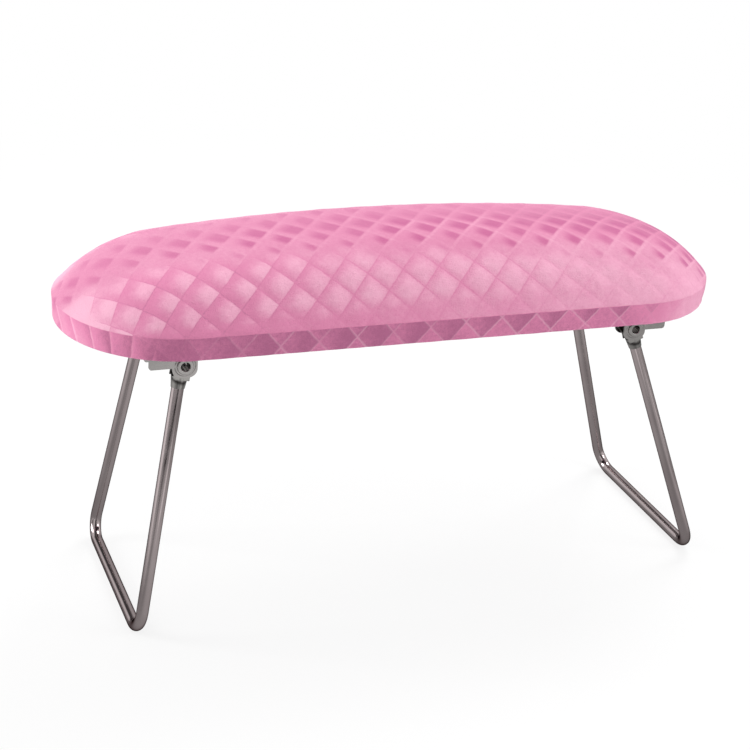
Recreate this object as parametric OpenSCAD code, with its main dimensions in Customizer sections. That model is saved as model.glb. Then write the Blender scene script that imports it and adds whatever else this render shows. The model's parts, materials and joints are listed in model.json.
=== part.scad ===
// Manicure hand rest: a quilted, domed pad on two folding U-shaped tube legs.
// Lengths are millimetres and angles are degrees. +Z is up, the pad runs along X,
// and the origin is on the table under the middle of the pad.

/* [Pad] */
// Length of the pad at its widest line
pad_len = 400; // [320:5:480]
// Width of the pad at its widest line
pad_w = 130; // [112:2:160]
// Height of the dome above the board at the middle of the pad
dome_h = 36; // [26:1:46]
// Roundness of the cross-section, higher is boxier
dome_pow = 3.6; // [2.6:0.1:4.4]
// Share of the dome's height that is lost at the two tips
arch_share = 0.47; // [0.2:0.01:0.6]
// How late along the length that fall comes
arch_pow = 2.1; // [1.8:0.1:3.4]
// How far the lower edge of the side band is drawn in
band_lean = 0.8; // [0.2:0.1:1.4]

/* [Quilting] */
// Length of one quilted diamond along the pad
quilt_pitch = 21.6; // [18:0.1:28]
// Length of one quilted diamond across the pad
quilt_depth = 24; // [20:0.1:34]
// Offset of the pattern along the pad
quilt_shift = 6.5; // [0:0.1:10]
// Rise of the middle of a diamond
puff_h = 0.7; // [0.4:0.1:1.6]
// Depth of a seam crossing
seam_sink = 0.6; // [0.2:0.1:1.2]

/* [Upholstery] */
// Thickness of velvet and wadding on top
cover_t = 3.2; // [2.6:0.1:5]
// Thickness of velvet and wadding on the side band
band_t = 2.6; // [2.2:0.1:3.6]
// Thickness of the turned hem under the board
hem_t = 0.8; // [0.6:0.1:1.4]
// Width of the turned hem
hem_w = 17; // [14:1:20]
// Thickness of the dust cover
liner_t = 0.6; // [0.4:0.1:1]
// Distance from the pad's edge to the dust cover's edge
liner_in = 7; // [5:1:9]
// Clearance round the foam and the board
soft_gap = 0.3; // [0.2:0.05:0.5]

/* [Board] */
// Thickness of the plywood board
board_t = 11.6; // [9:0.2:15]

/* [Legs] */
// Outer diameter of the leg tube
tube_d = 7; // [6:0.25:8]
// Wall of the leg tube
tube_wall = 1; // [0.8:0.1:1.4]
// Distance from the pivot down to the foot rail
leg_len = 160; // [130:1:190]
// Width of the leg at the pivots, as a share of the pad's width
leg_top_share = 0.62; // [0.56:0.01:0.62]
// Width of the leg at the foot, as a share of the pad's width
leg_foot_share = 0.935; // [0.8:0.005:0.955]
// Bend radius of the tube at its centre line
bend_r = 12; // [10:0.5:20]
// Angle of the left leg from square to the pad
left_open = 9.3; // [4:0.1:20]
// Angle of the right leg from square to the pad
right_open = 20.2; // [4:0.1:20.2]

/* [Brackets] */
// Distance from the pad's tip to the pivot axis
pivot_inset = 62; // [60:1:75]
// Depth of the pivot axis below the underside
pivot_drop = 11; // [10.6:0.1:12]
// Thickness of the bracket sheet
sheet_t = 1.2; // [1:0.05:1.4]
// Radius of the sheet's inner bend
sheet_bend = 0.8; // [0.5:0.1:1.2]
// Width of the bracket's cheek along the pad
cheek_w = 14; // [13:0.5:16]
// Depth of the cheek below the underside
cheek_h = 18; // [17.4:0.1:19]
// Radius of the cheek's lower corners
cheek_r = 5; // [3:0.25:6]
// Length of the fixing rail past the cheek
rail_len = 13; // [12.8:0.1:16]
// Depth of the fixing rail
rail_h = 12; // [9:0.5:13]
// Radius of the rail's lower corner
rail_r = 1.6; // [0.6:0.2:3]
// Radius of the pressed boss round the pivot
boss_r = 6; // [5.6:0.1:6.4]
// Height of the pressed boss
boss_h = 0.5; // [0.3:0.05:0.7]

/* [Clasps] */
// Thickness of the clasp sheet
clasp_t = 0.9; // [0.8:0.05:1.1]
// Side clearance between clasp and cheek
side_gap = 0.3; // [0.25:0.05:0.5]
// Radius of the clasp's ear
ear_r = 6; // [5.4:0.1:6.4]
// Opening angle at which the ear meets the web
stop_open = 20.2; // [20.2:0.1:24]
// Clearance left at that stop
stop_gap = 0.25; // [0.2:0.05:0.5]
// Width of the ear's stop face
stop_w = 4.5; // [3:0.25:4.5]
// Distance from the pivot to the rim of the collar
collar_top = 8.4; // [8.2:0.1:9.2]
// Height of the collar round the tube
collar_h = 6.5; // [5:0.25:9]
// Radius of the collar at its rim
collar_r = 4.7; // [4.6:0.05:4.75]
// Wall of the collar at its lower edge
collar_lip = 0.35; // [0.3:0.05:0.6]

/* [Rivets and screws] */
// Radius of the hollow rivet's barrel
rivet_r = 3.2; // [2.8:0.1:3.3]
// Radius of the hole in the rivet
rivet_bore_r = 2.5; // [2:0.1:2.6]
// Radius of the rolled flange
flange_r = 4.7; // [4.2:0.1:5]
// Height of the rolled flange
flange_h = 0.9; // [0.6:0.1:1.2]
// Running clearance of the clasp on the rivet
pivot_clear = 0.08; // [0.05:0.01:0.1]
// Radius of the screw's core
screw_r = 1.2; // [1:0.05:1.4]
// Radius of the screw head
screw_head_r = 2.7; // [2.4:0.1:2.8]
// Height of the screw head
screw_head_h = 1.9; // [1.4:0.1:2]
// Length of the screw under its head
screw_len = 11; // [8:0.5:12]
// Clearance round the screw
screw_clear = 0.1; // [0.05:0.05:0.2]
// Distance from the pivot to the first screw
screw_first = 10.9; // [10.8:0.1:11.2]
// Distance between the two screws
screw_pitch = 5.8; // [5.7:0.1:6]

/* [Hidden] */
$fn = 64;

// How far a cutting tool runs past what it cuts
overrun = pad_w / 10;

// Pad outline: a stadium with a straight middle and round ends
half_w = pad_w / 2;
half_len = pad_len / 2;
straight = half_len - half_w;

// Heights above the plane on which the brackets sit
hem_top = liner_t + hem_t;
band_h = hem_top + board_t;

// Cloth lengths over the cross-section, as pairs of cloth length and share of the half width.
// Past the board's edge the dome runs on straight down, where the side band cuts it.
arc_steps = 48;
edge_fall = dome_h * dome_pow;
section_table = [
    for (i = 0, s = 0; i <= arc_steps;
         s = s + (i < arc_steps ? norm(section(i + 1) - section(i)) : 0), i = i + 1)
    [s, i / arc_steps]
];
cloth_half = section_table[arc_steps][0];
edge_stretch = norm([half_w, edge_fall]);

function section(i) =
    [half_w * i / arc_steps, dome_h * (1 - pow(i / arc_steps, dome_pow))];

// The quilting lattice: half a diamond each way
cell_x = quilt_pitch / 2;
cell_y = quilt_depth / 2;
// The foam is smooth, so its facets follow the pad's size and not the quilting
foam_x = half_len / 5;
foam_y = cloth_half / 4;
// Share of the puffs and seams that is left at the board's edge
edge_share = 0.3;
// How far the side band is drawn in between two pleats
pleat_share = 0.6;
pleat_dip = pleat_share * puff_h;

// Pose: the pad leans so that both foot rails stand on the table
pivot_x = half_len - pivot_inset;
left_foot = [-pivot_x - leg_len * sin(left_open), -pivot_drop - leg_len * cos(left_open)];
right_foot = [pivot_x + leg_len * sin(right_open), -pivot_drop - leg_len * cos(right_open)];
pad_lean = atan2(right_foot.y - left_foot.y, right_foot.x - left_foot.x);
ride_h = tube_d / 2 + left_foot.x * sin(pad_lean) - left_foot.y * cos(pad_lean);
ride_x = -band_h * sin(pad_lean);

// Bracket and clasp, measured across the hinge axis
tube_r = tube_d / 2;
socket_gap = 0.1;
ear_in = tube_r + socket_gap;
ear_out = ear_in + clasp_t;
cheek_in = ear_out + side_gap;
cheek_out = cheek_in + sheet_t;
web_drop = pivot_drop - sheet_t;
ear_half = min(collar_r, ear_r) - socket_gap;
tube_gap = 0.05;

// Leg centre line: each side bar splays outwards to a bend above the foot rail
top_half = leg_top_share * half_w;
foot_half = leg_foot_share * half_w;
bar_drop = leg_len - collar_top;
splay = atan2(foot_half - top_half, bar_drop);
bend_turn = 90 + splay;
bend_back = bend_r * tan(bend_turn / 2);
bar_len = norm([foot_half - top_half, bar_drop]) - bend_back;
bend_lap = 1;
bend_thin = 0.02;

// Colours
velvet_c = [0.91, 0.60, 0.73];
foam_c = [0.95, 0.93, 0.82];
wood_c = [0.80, 0.66, 0.46];
liner_c = [0.15, 0.15, 0.16];
nickel_c = [0.70, 0.70, 0.69];
tube_c = [0.48, 0.44, 0.44];

// Pose of the pad and of everything fixed to it
module on_pad() {
    translate([ride_x, 0, ride_h]) rotate([0, pad_lean, 0]) children();
}

// Pose of a leg: origin on its pivot axis, leg hanging down, outboard towards -X
module on_pivot(side, open) {
    on_pad() translate([side * pivot_x, 0, -pivot_drop])
        rotate([0, -side * open, 0]) scale_side(side) children();
}

// The right side is the mirror image of the left one
module scale_side(side) {
    if (side > 0) mirror([1, 0, 0]) children();
    else children();
}

module stadium(inset) {
    square([2 * straight, 2 * (half_w - inset)], center = true);
    for (s = [-1, 1]) translate([s * straight, 0]) circle(r = half_w - inset, $fn = 40);
}

module stadium_slab(inset, low, high) {
    translate([0, 0, low]) linear_extrude(high - low) stadium(inset);
}

// Where a point of the flat cloth comes to lie on a dome that is side_in narrower and
// top_in lower than the outside of the cover
function arch(x) = 1 - arch_share * pow(min(abs(x) / half_len, 1), arch_pow);

function drape(cloth, lift, side_in, top_in) =
    let (sx = cloth.x < 0 ? -1 : 1,
         ex = max(abs(cloth.x) - straight, 0),
         mid = min(abs(cloth.x), straight),
         rho = norm([ex, cloth.y]),
         dx = rho > 0 ? ex / rho : 0,
         dy = rho > 0 ? cloth.y / rho : 0,
         past = max(rho - cloth_half, 0),
         r = lookup(rho, section_table) + past / edge_stretch,
         near_edge = min(max((cloth_half - rho) / cell_y, 0), 1),
         share = edge_share + (1 - edge_share) * near_edge,
         w = half_w - side_in,
         h = dome_h - top_in,
         x = mid + w * r * dx,
         fall = arch(x),
         slope = h * dome_pow * pow(min(r, 1), dome_pow - 1) / w * fall,
         out = share * lift * slope / norm([1, slope]),
         up = share * lift / norm([1, slope]),
         z = r < 1 ? h * (1 - pow(r, dome_pow)) * fall : -(r - 1) * edge_fall)
    [sx * (x + out * dx), w * r * dy + out * dy, band_h + z + up];

// A closed body: a grid of cloth draped over the dome, down past the board, and closed below
module draped_form(step_x, step_y, shift, crown, dip, side_in, top_in) {
    reach = cloth_half + 2 * band_h;
    nx = ceil((straight + reach + abs(shift)) / step_x);
    ny = ceil(reach / step_y);
    cols = 2 * nx + 1;
    rows = 2 * ny + 1;
    cloth_points = [
        for (j = [-ny:ny]) for (i = [-nx:nx])
            drape([shift + i * step_x, j * step_y], (i + j) % 2 == 0 ? -dip : crown,
                  side_in, top_in)
    ];
    deep = min([for (p = cloth_points) p.z]) - overrun;
    // Each cell is split along its seam, which joins the two crossings
    cloth_faces = [
        for (j = [0:rows - 2]) for (i = [0:cols - 2])
            let (a = j * cols + i, b = a + 1, c = a + cols + 1, d = a + cols)
            each ((i + j + nx + ny) % 2 == 0 ? [[a, c, b], [a, d, c]] : [[a, d, b], [b, d, c]])
    ];
    rim = concat(
        [for (i = [0:cols - 1]) i],
        [for (j = [1:rows - 1]) j * cols + cols - 1],
        [for (i = [cols - 2:-1:0]) (rows - 1) * cols + i],
        [for (j = [rows - 2:-1:1]) j * cols]
    );
    hub = cols * rows;
    skirt_faces = [for (k = [0:len(rim) - 1]) [rim[k], rim[(k + 1) % len(rim)], hub]];
    polyhedron(points = concat(cloth_points, [[0, 0, deep]]),
               faces = concat(cloth_faces, skirt_faces), convexity = 4);
}

// Outline of the side band: every second point is drawn in, closer together round the ends
function band_outline(dip, inset) =
    let (n = round(straight / cell_x / 3),
         m = round(half_w * PI / 2 / cell_x),
         rim = [
             for (k = [-n:n - 1]) [k * straight / n, -half_w, 0, -1],
             for (k = [-m:m - 1]) let (a = k * 90 / m)
                 [straight + half_w * cos(a), half_w * sin(a), cos(a), sin(a)],
             for (k = [n:-1:1 - n]) [k * straight / n, half_w, 0, 1],
             for (k = [-m:m - 1]) let (a = 180 + k * 90 / m)
                 [-straight + half_w * cos(a), half_w * sin(a), cos(a), sin(a)]
         ])
    [for (k = [0:len(rim) - 1]) let (p = rim[k], d = inset + (k % 2 == 0 ? 0 : dip))
        [p[0] - d * p[2], p[1] - d * p[3]]];

module band_form() {
    low = band_outline(0, band_lean);
    high = band_outline(pleat_dip, 0);
    n = len(low);
    rings = concat([for (p = low) [p.x, p.y, liner_t]], [for (p = high) [p.x, p.y, band_h]],
                   [for (p = high) [p.x, p.y, band_h + dome_h + overrun]]);
    sides = [
        for (r = [0, 1]) for (k = [0:n - 1])
            let (a = r * n + k, b = r * n + (k + 1) % n)
            each (k % 2 == 0 ? [[a, b + n, b], [a, a + n, b + n]]
                             : [[a, a + n, b], [b, a + n, b + n]])
    ];
    polyhedron(points = rings,
               faces = concat(sides, [[for (k = [0:n - 1]) k]],
                              [[for (k = [n - 1:-1:0]) 2 * n + k]]), convexity = 4);
}

module above(low) {
    intersection() {
        children();
        translate([-pad_len, -pad_w, low]) cube([2 * pad_len, 2 * pad_w, 2 * (dome_h + band_h)]);
    }
}

module base_board() color(wood_c) on_pad() difference() {
    stadium_slab(band_t + soft_gap, hem_top, band_h);
    for (sx = [-1, 1]) for (sy = [-1, 1]) at_screws(sx, sy)
        translate([0, 0, -overrun]) cylinder(r = screw_r + screw_clear, h = 2 * overrun + board_t);
}

module foam_core() color(foam_c) on_pad() above(band_h)
    draped_form(foam_x, foam_y, 0, 0, 0, cover_t + soft_gap, cover_t + soft_gap);

// The cover is one sewn shell of facets, and a resize to its own size keeps it one mesh
module quilted_cover() color(velvet_c) on_pad() resize([0, 0, 0]) difference() {
    intersection() {
        draped_form(cell_x, cell_y, quilt_shift, puff_h, seam_sink, 0, 0);
        band_form();
    }
    above(band_h) draped_form(foam_x, foam_y, 0, 0, 0, cover_t, cover_t);
    stadium_slab(band_t, hem_top, band_h + soft_gap);
    stadium_slab(hem_w, liner_t - overrun, hem_top + soft_gap);
}

module bottom_liner() color(liner_c) on_pad() difference() {
    stadium_slab(liner_in, 0, liner_t);
    for (sx = [-1, 1]) for (sy = [-1, 1]) at_screws(sx, sy)
        translate([0, 0, -overrun]) cylinder(r = screw_r + screw_clear, h = 2 * overrun);
}

// Places of one bracket and of its two screws, on the plane under the board
module at_bracket(sx, sy) {
    translate([sx * pivot_x, sy * top_half, 0]) scale_side(sx) children();
}

module at_screws(sx, sy) {
    at_bracket(sx, sy) for (k = [0, 1])
        translate([-screw_first - k * screw_pitch, 0, 0]) children();
}

// Side outline of the bracket: rounded cheek inboard, shallow fixing rail outboard
module bracket_side() {
    end = cheek_w / 2 + rail_len;
    difference() {
        union() {
            translate([-cheek_w / 2, -cheek_h + cheek_r]) square([cheek_w, cheek_h - cheek_r]);
            for (s = [-1, 1]) translate([s * (cheek_w / 2 - cheek_r), -cheek_h + cheek_r])
                circle(r = cheek_r);
            translate([-cheek_w / 2 + cheek_r, -cheek_h])
                square([cheek_w - 2 * cheek_r, cheek_r]);
            translate([-end, -rail_h + rail_r]) square([rail_len + cheek_r, rail_h - rail_r]);
            translate([-end + rail_r, -rail_h])
                square([rail_len - rail_r + cheek_r, rail_r]);
            translate([-end + rail_r, -rail_h + rail_r]) circle(r = rail_r);
        }
        translate([0, -pivot_drop]) circle(r = rivet_r);
    }
}

// Cross-section of the folded channel, open downwards
module channel_section() {
    outer = sheet_bend + sheet_t;
    difference() {
        union() {
            translate([-cheek_out, -cheek_h]) square([2 * cheek_out, cheek_h - outer]);
            translate([-cheek_out + outer, -outer]) square([2 * (cheek_out - outer), outer]);
            for (s = [-1, 1]) translate([s * (cheek_out - outer), -outer]) circle(r = outer);
        }
        translate([-cheek_in, -cheek_h - overrun])
            square([2 * cheek_in, cheek_h + overrun - outer]);
        translate([-cheek_in + sheet_bend, -outer - overrun])
            square([2 * (cheek_in - sheet_bend), overrun + sheet_bend]);
        for (s = [-1, 1]) translate([s * (cheek_in - sheet_bend), -outer])
            circle(r = sheet_bend);
    }
}

module bracket(sx, sy) color(nickel_c) on_pad() at_bracket(sx, sy) {
    end = cheek_w / 2 + rail_len;
    difference() {
        union() {
            intersection() {
                rotate([90, 0, 90]) translate([0, 0, -end - overrun])
                    linear_extrude(cheek_w + rail_len + 2 * overrun) channel_section();
                rotate([90, 0, 0]) translate([0, 0, -cheek_out - overrun])
                    linear_extrude(2 * (cheek_out + overrun)) bracket_side();
            }
            // Pressed boss round the pivot on both cheeks
            for (s = [-1, 1]) translate([0, 0, -pivot_drop]) rotate([-90 * s, 0, 0])
                translate([0, 0, cheek_out]) difference() {
                    cylinder(r1 = boss_r, r2 = boss_r - boss_h, h = boss_h);
                    translate([0, 0, -overrun]) cylinder(r = rivet_r, h = 2 * overrun);
                }
        }
        // The hollow behind each boss
        for (s = [-1, 1]) translate([0, 0, -pivot_drop]) rotate([-90 * s, 0, 0])
            translate([0, 0, cheek_in - boss_h]) cylinder(r = boss_r - sheet_t, h = 2 * boss_h);
        for (k = [0, 1]) translate([-screw_first - k * screw_pitch, 0, -overrun])
            cylinder(r = screw_r + screw_clear, h = 2 * overrun);
    }
}

// One screw: domed head below the web, core up into the board
module screw() {
    slot = screw_head_r / 5;
    translate([0, 0, -sheet_t]) difference() {
        union() {
            rotate_extrude() intersection() {
                translate([0, -screw_head_h]) square([screw_head_r, screw_head_h]);
                translate([0, screw_head_r - screw_head_h + slot]) circle(r = screw_head_r + slot);
            }
            cylinder(r = screw_r, h = screw_len);
        }
        for (a = [0, 90]) rotate([0, 0, a])
            translate([-screw_head_r * 3 / 5, -slot / 2, -screw_head_h - slot])
                cube([screw_head_r * 6 / 5, slot, screw_head_h]);
    }
}

module screws(sx, sy) color(nickel_c) on_pad() at_screws(sx, sy) screw();

// Hollow rivet with a rolled flange at each end
module rivet(sx, sy) color(nickel_c) on_pad() at_bracket(sx, sy)
    translate([0, 0, -pivot_drop]) rotate([90, 0, 0]) rotate_extrude() {
        reach = cheek_out + boss_h;
        roll = flange_h / 2;
        difference() {
            union() {
                translate([rivet_bore_r, -reach - roll])
                    square([rivet_r - rivet_bore_r, 2 * (reach + roll)]);
                for (s = [-1, 1]) {
                    translate([rivet_bore_r + roll, s * (reach + roll) - roll])
                        square([flange_r - rivet_bore_r - 2 * roll, flange_h]);
                    for (x = [rivet_bore_r + roll, flange_r - roll])
                        translate([x, s * (reach + roll)]) circle(r = roll);
                }
            }
            // The barrel is a little slimmer than its holes between the cheeks
            translate([rivet_r - tube_gap / 5, -reach]) square([tube_gap, 2 * reach]);
        }
    }

// Half of the leg's centre line, swept by a round section of radius r.
// The tube is a trace slimmer in its bends, which run a little way into the straight parts.
module leg_half(r, top_extra) {
    translate([0, top_half, -collar_top]) rotate([splay, 0, 0]) {
        translate([0, 0, -bar_len]) cylinder(r = r, h = bar_len + top_extra);
        translate([0, 0, -bar_len]) rotate([0, 0, 90]) translate([-bend_r, 0, 0])
            rotate([-90, 0, 0]) rotate([0, 0, -bend_lap])
                rotate_extrude(angle = bend_turn + 2 * bend_lap) translate([bend_r, 0])
                    circle(r = r - bend_thin);
    }
}

module leg_rail(r) {
    translate([0, bend_back - foot_half, -leg_len]) rotate([-90, 0, 0])
        cylinder(r = r, h = 2 * (foot_half - bend_back));
}

module leg_path(r, top_extra) {
    for (s = [0, 1]) mirror([0, s, 0]) leg_half(r, top_extra);
    leg_rail(r);
}

module leg_tube(side, open) color(tube_c) on_pivot(side, open) difference() {
    leg_path(tube_r, 0);
    leg_path(tube_r - tube_wall, overrun);
}

// Outline of one ear: round the pivot, with a stop face that meets the web when open
module ear_outline() {
    circle(r = ear_r);
    rotate(stop_open) polygon([
        [-stop_w, 0], [-stop_w, web_drop - stop_gap], [0, web_drop - stop_gap], [ear_r, 0]
    ]);
    translate([-ear_half, -collar_top - clasp_t])
        square([2 * ear_half, collar_top + clasp_t]);
}

// Clasp: a collar round the tube's end that rises into two ears inside the bracket
module clasp(side, sy, open) color(nickel_c) on_pivot(side, open) mirror([0, sy < 0 ? 1 : 0, 0])
    difference() {
        union() {
            for (s = [-1, 1])
                translate([0, top_half + s * (ear_in + ear_out) / 2 + clasp_t / 2, 0])
                    rotate([90, 0, 0]) linear_extrude(clasp_t) ear_outline();
            translate([0, top_half, -collar_top]) rotate([splay, 0, 0])
                translate([0, 0, -collar_h])
                    cylinder(r1 = tube_r + tube_gap + collar_lip, r2 = collar_r, h = collar_h);
        }
        translate([0, top_half, -collar_top]) rotate([splay, 0, 0])
            translate([0, 0, -collar_h - overrun])
                cylinder(r = tube_r + tube_gap, h = collar_h + overrun + clasp_t);
        translate([0, top_half, 0]) rotate([90, 0, 0])
            cylinder(r = rivet_r + pivot_clear, h = 4 * ear_out, center = true);
    }

base_board();
foam_core();
quilted_cover();
bottom_liner();
bracket(-1, -1);  // left_front_bracket
bracket(-1, 1);  // left_back_bracket
bracket(1, -1);  // right_front_bracket
bracket(1, 1);  // right_back_bracket
screws(-1, -1);  // left_front_screws
screws(-1, 1);  // left_back_screws
screws(1, -1);  // right_front_screws
screws(1, 1);  // right_back_screws
rivet(-1, -1);  // left_front_rivet
rivet(-1, 1);  // left_back_rivet
rivet(1, -1);  // right_front_rivet
rivet(1, 1);  // right_back_rivet
leg_tube(-1, left_open);  // left_leg_tube
clasp(-1, -1, left_open);  // left_front_clasp
clasp(-1, 1, left_open);  // left_back_clasp
leg_tube(1, right_open);  // right_leg_tube
clasp(1, -1, right_open);  // right_front_clasp
clasp(1, 1, right_open);  // right_back_clasp
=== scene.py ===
# %% Start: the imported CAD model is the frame
import json
import math

import bpy
import numpy as np
from mathutils import Matrix, Vector


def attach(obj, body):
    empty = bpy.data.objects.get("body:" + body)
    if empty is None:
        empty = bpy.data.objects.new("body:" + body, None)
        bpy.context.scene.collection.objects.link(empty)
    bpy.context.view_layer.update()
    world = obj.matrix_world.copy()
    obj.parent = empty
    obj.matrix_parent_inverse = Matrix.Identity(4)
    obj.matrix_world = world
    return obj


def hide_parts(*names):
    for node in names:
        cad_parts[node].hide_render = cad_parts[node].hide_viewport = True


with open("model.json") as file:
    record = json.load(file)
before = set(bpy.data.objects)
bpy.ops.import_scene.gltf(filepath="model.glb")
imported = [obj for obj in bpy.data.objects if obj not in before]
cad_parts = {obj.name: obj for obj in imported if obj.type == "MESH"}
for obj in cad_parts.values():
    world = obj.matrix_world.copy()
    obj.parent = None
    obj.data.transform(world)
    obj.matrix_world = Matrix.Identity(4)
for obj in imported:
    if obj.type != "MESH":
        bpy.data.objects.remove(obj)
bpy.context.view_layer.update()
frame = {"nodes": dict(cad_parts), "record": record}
nodes, record = frame["nodes"], frame["record"]

# %% [markdown]
# ## One frame for everything
# The pad leans by a little over a degree, because its two legs stand at different angles.
# It would be possible to model in the room's axes and turn each piece at the end, but every
# object here keeps its origin at zero, so the turn goes into the points instead. The lean is
# read from the record's mount on the underside, so it can't drift away from the CAD model.

# %% The pad's own axes, taken from the mount on its underside
under = next(m for m in record["mounts"] if m["name"] == "underside")
lean = math.asin(-under["axis"][0])
ride = np.array(under["pos_m"])


def on_pad(points):
    """Points in pad axes, in millimetres, as points in the room's axes, in metres."""
    p = np.asarray(points, float) / 1000
    c, s = math.cos(lean), math.sin(lean)
    x, y, z = p[..., 0], p[..., 1], p[..., 2]
    return np.stack([x * c + z * s, y, z * c - x * s], -1) + ride


print("pad lean, degrees:", round(math.degrees(lean), 2))

# %% [markdown]
# ## Making a mesh from a grid
# Most pieces here are grids of points: rings of a profile that are carried round an outline.
# `from_pydata` is the plainest way to make one, and it leaves no operators or edit mode to
# depend on. Faces are given with their corners counter-clockwise seen from outside, because
# the renderer, the physics model and the exporter all read the outside from that order.


# %% Helpers that turn points into pieces
def piece(name, points, faces, body="pad"):
    """A smooth mesh object at the origin that rides on a CAD body."""
    mesh = bpy.data.meshes.new(name)
    mesh.from_pydata([tuple(p) for p in points], [], faces)
    mesh.update()
    mesh.polygons.foreach_set("use_smooth", [True] * len(mesh.polygons))
    obj = bpy.data.objects.new(name, mesh)
    bpy.context.scene.collection.objects.link(obj)
    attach(obj, body)
    return obj


def grid_faces(rings, cols):
    """Quads between rings of cols points each, closed round the ring."""
    first = np.arange(rings - 1)[:, None] * cols
    a, b = first + np.arange(cols)[None, :], first + (np.arange(cols)[None, :] + 1) % cols
    return np.stack([a, a + cols, b + cols, b], -1).reshape(-1, 4).tolist()


def ringed(name, grid):
    """A piece from rings of points in pad axes."""
    rings, cols = grid.shape[:2]
    return piece(name, on_pad(grid.reshape(-1, 3)), grid_faces(rings, cols))


print("two rings of six points make", len(grid_faces(2, 6)), "faces")


# %% Helpers for smooth patterns
def waves(x, y, size, seed, count=14):
    """Smooth noise from -1 to 1: plane waves of random direction and about one wavelength."""
    rng = np.random.default_rng(seed)
    turn, shift = rng.uniform(0, math.tau, (2, count))
    k = math.tau / (size * rng.uniform(0.7, 1.5, count))
    total = sum(
        np.sin(k[i] * (x * math.cos(turn[i]) + y * math.sin(turn[i])) + shift[i])
        for i in range(count)
    )
    return total / math.sqrt(count * 2)


def ramp(values, start, end):
    """From 0 at the start to 1 at the end, and level outside."""
    return np.clip((values - start) / (end - start), 0, 1)


print("half-way up a ramp:", float(ramp(6.0, 4.0, 8.0)))

# %% [markdown]
# ## The quilted cover: where the cloth lies
# The cover is one flat cloth, sewn to its wadding along diagonal lines and then pulled over a
# domed foam. So each point gets two places: one on the flat cloth, where the sewing pattern is
# regular, and one on the dome. In the straight middle of the pad the cloth runs over the
# cross-section; round each end it fans out from a centre. A texture could fake this, but only
# real relief catches light the way the photograph shows.
#
# The grid follows the outline of the pad, so one of its rings lies exactly on the edge of the
# board, where the dome turns into the side band.

# %% Sizes of the cover, in millimetres, in pad axes
half_len, half_w = 200.0, 65.0
straight = half_len - half_w
dome_h, dome_pow, arch_share, arch_pow = 36.0, 3.6, 0.47, 2.1
board_top, under_z, rim_z, hem_in, corner = 13.0, 0.6, -0.3, 17.0, 1.3
r_table = np.linspace(0, 1, 400)
z_table = dome_h * (1 - r_table**dome_pow)
s_table = np.r_[0, np.cumsum(np.hypot(np.diff(r_table) * half_w, np.diff(z_table)))]
cloth_half = s_table[-1]
print("cloth from crest to board edge:", round(cloth_half, 1), "mm")

# %% The outline: for each column, a place on the pad's spine and the direction out from it
step = 1.25
n_side = int(round(2 * straight / step))
n_end = int(round(math.pi * half_w / step / 2)) * 2
spine, out = [], []
for sign in (1.0, -1.0):
    for k in range(n_side):
        spine.append(sign * (-straight + 2 * straight * k / n_side))
        out.append((0.0, -sign))
    for k in range(n_end):
        a = -math.pi / 2 + math.pi * k / n_end
        spine.append(sign * straight)
        out.append((sign * math.cos(a), sign * math.sin(a)))
spine, out = np.array(spine), np.array(out)
cols = len(spine)
print("columns round the pad:", cols)


# %% The cross-section past the edge of the board: side band, lower fold and hem
def rounded(points, radius, gap=0.4):
    """A polyline sampled finely and smoothed, so that its corners get about that radius."""
    p = np.array(points, float)
    d = np.r_[0, np.cumsum(np.linalg.norm(np.diff(p, axis=0), axis=1))]
    t = np.arange(0, d[-1], gap)
    q = np.stack([np.interp(t, d, p[:, i]) for i in (0, 1)], -1)
    w = max(int(radius / gap), 1)
    before = [2 * q[0] - q[k] for k in range(w, 0, -1)]
    after = [2 * q[-1] - q[-1 - k] for k in range(1, w + 1)]
    longer = np.r_[before, q, after]
    kernel = np.hanning(2 * w + 3)[1:-1]
    kernel /= kernel.sum()
    return np.stack([np.convolve(longer[:, i], kernel, "valid") for i in (0, 1)], -1)


profile = [(0, board_top), (-0.6, rim_z), (-4, rim_z), (-8, under_z), (-hem_in, under_z)]
edge = rounded(profile, corner)
edge_s = np.r_[0, np.cumsum(np.linalg.norm(np.diff(edge, axis=0), axis=1))]
rho = np.r_[np.linspace(0, cloth_half, int(cloth_half / step) + 1), cloth_half + edge_s[2::2]]
past_edge = rho - cloth_half
rings = len(rho)
print("cover grid:", rings, "rings x", cols, "columns")


# %% The smooth cover
def lay(spine, rho, out_x, out_y, inset=0.0, lower=0.0):
    """Points of the smooth cover: a place on the spine, a cloth length out, a direction."""
    r = np.interp(rho, s_table, r_table)
    past = np.maximum(rho - cloth_half, 0)
    e_out, e_z = np.interp(past, edge_s, edge[:, 0]), np.interp(past, edge_s, edge[:, 1])
    w = (half_w - inset) * r + np.where(rho > cloth_half, e_out, 0)
    x = spine + w * out_x
    arch = 1 - arch_share * np.minimum(np.abs(x) / half_len, 1) ** arch_pow
    dome = board_top + (dome_h - lower) * (1 - r**dome_pow) * arch
    return np.stack([x, w * out_y, np.where(rho > cloth_half, e_z, dome)], -1)


def base_surface(rho, inset=0.0, lower=0.0):
    """The smooth cover as a grid: rings x columns x 3."""
    return lay(spine[None, :], rho[:, None], out[None, :, 0], out[None, :, 1], inset, lower)


def unit_normals(points, u_axis, v_axis):
    """Normals of a grid of points, turned to the side on which most of them look up."""
    normal = np.cross(np.gradient(points, axis=v_axis), np.gradient(points, axis=u_axis))
    size = np.linalg.norm(normal, axis=-1, keepdims=True)
    normal = np.where(size > 1e-9, normal / np.maximum(size, 1e-9), (0, 0, 1))
    return normal * np.sign(normal[..., 2].mean())


base = base_surface(rho)
print("crest of the smooth cover:", round(float(base[..., 2].max()), 1), "mm above its underside")

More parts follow.
